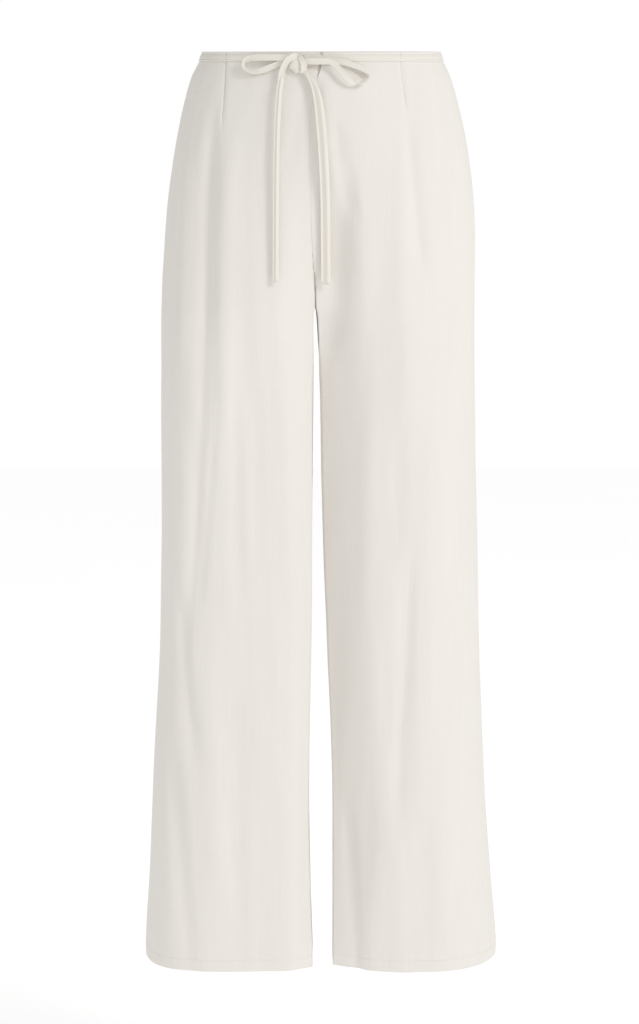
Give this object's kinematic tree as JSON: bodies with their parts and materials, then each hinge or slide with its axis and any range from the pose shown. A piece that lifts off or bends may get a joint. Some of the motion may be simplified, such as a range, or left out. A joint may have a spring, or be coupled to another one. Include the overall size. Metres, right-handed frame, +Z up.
{
  "type": "palazzo pants",
  "caption": "Wide-leg linen pants in their worn form, with darted fronts and backs, a slit at the centre front, and a narrow tie round the waist knotted in a bow.",
  "frame": {"origin": "middle of the waist, at the height of the tie, 9 mm below the waist edge", "axes": "+Z up, the front faces -Y, +X towards the wearer's left"},
  "size_m": [0.4185, 0.2427, 1.0602],
  "materials": {
    "linen": "matte plain-weave linen",
    "tie_linen": "matte plain-weave linen"
  },
  "bodies": {
    "root": {"front_right": "linen", "front_left": "linen", "back_right": "linen", "back_left": "linen", "fly_underlap": "linen", "tie_waist": "tie_linen", "tie_knot": "tie_linen", "tie_loop_right": "tie_linen", "tie_loop_left": "tie_linen", "tie_end_right": "tie_linen", "tie_end_left": "tie_linen"}
  },
  "joints": []
}
